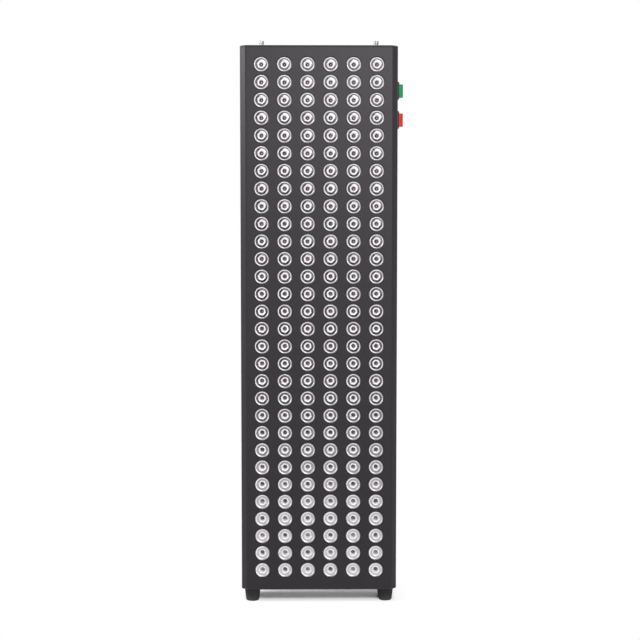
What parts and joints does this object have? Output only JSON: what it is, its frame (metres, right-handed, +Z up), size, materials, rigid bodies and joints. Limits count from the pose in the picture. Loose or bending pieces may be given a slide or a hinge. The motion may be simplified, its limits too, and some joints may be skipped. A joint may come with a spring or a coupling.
{
  "type": "red light therapy panel",
  "caption": "Tall slim light therapy panel: a perforated black sheet housing with a grid of round lamp lenses, two side rocker switches, hanging studs and rubber feet.",
  "frame": {"origin": "middle of the bottom cap's underside, which is the underside of the housing; the feet reach 21 mm below it", "axes": "+Z up along the panel's height, +Y towards the rear cover so that the lamps shine along -Y, +X towards the side wall with the two switches"},
  "size_m": [0.2704, 0.0678, 0.937],
  "materials": {
    "black_paint": "satin black powder coat, fine grained",
    "lens_clear": "polished clear lens over a white board",
    "bare_aluminium": "extruded, unpainted",
    "zinc_steel": "zinc plated sheet",
    "nickel": "bright nickel plate",
    "black_plastic": "moulded, fine texture",
    "green_plastic": "translucent green, glossy",
    "red_plastic": "translucent orange red, glossy",
    "black_rubber": "matt moulded rubber",
    "lead_sleeve": "soft extruded sleeve"
  },
  "bodies": {
    "panel_body": {"front_housing": "black_paint", "top_cap": "black_paint", "bottom_cap": "black_paint", "rear_cover": "black_paint", "lamp_board_upper": "lens_clear", "lamp_board_middle": "lens_clear", "lamp_board_lower": "lens_clear", "heat_sink_upper": "bare_aluminium", "heat_sink_middle": "bare_aluminium", "heat_sink_lower": "bare_aluminium", "mounting_rail_left": "zinc_steel", "mounting_rail_right": "zinc_steel", "fan_frame_upper": "black_plastic", "fan_frame_middle": "black_plastic", "fan_frame_lower": "black_plastic", "red_driver": "bare_aluminium", "infrared_driver": "bare_aluminium", "mains_inlet": "black_plastic", "mains_lead": "lead_sleeve", "switch_link_lead": "lead_sleeve", "red_driver_lead": "lead_sleeve", "infrared_driver_lead": "lead_sleeve", "red_lamp_lead": "lead_sleeve", "infrared_lamp_lead": "lead_sleeve", "green_switch_body": "black_plastic", "red_switch_body": "black_plastic", "hanging_stud_left": "nickel", "hanging_stud_right": "nickel", "stud_nut_left": "zinc_steel", "stud_nut_right": "zinc_steel", "foot_front_left": "black_rubber", "foot_front_right": "black_rubber", "foot_rear_left": "black_rubber", "foot_rear_right": "black_rubber"},
    "green_rocker": {"green_rocker": "green_plastic"},
    "red_rocker": {"red_rocker": "red_plastic"},
    "upper_fan_rotor": {"fan_rotor_upper": "black_plastic"},
    "middle_fan_rotor": {"fan_rotor_middle": "black_plastic"},
    "lower_fan_rotor": {"fan_rotor_lower": "black_plastic"}
  },
  "joints": [
    {"name": "green_rocker_tilt", "type": "hinge", "parent": "panel_body", "child": "green_rocker", "pos_m": [0.1295, 0.0127, 0.834], "axis": [0, 0, 1], "range_deg": [-32, 0]},
    {"name": "red_rocker_tilt", "type": "hinge", "parent": "panel_body", "child": "red_rocker", "pos_m": [0.1295, 0.0127, 0.786], "axis": [0, 0, 1], "range_deg": [-32, 0]},
    {"name": "upper_fan_spin", "type": "hinge", "parent": "panel_body", "child": "upper_fan_rotor", "pos_m": [0, 0.0177, 0.721], "axis": [0, 1, 0], "continuous": true},
    {"name": "middle_fan_spin", "type": "hinge", "parent": "panel_body", "child": "middle_fan_rotor", "pos_m": [0, 0.0177, 0.453], "axis": [0, 1, 0], "continuous": true},
    {"name": "lower_fan_spin", "type": "hinge", "parent": "panel_body", "child": "lower_fan_rotor", "pos_m": [0, 0.0177, 0.185], "axis": [0, 1, 0], "continuous": true}
  ]
}
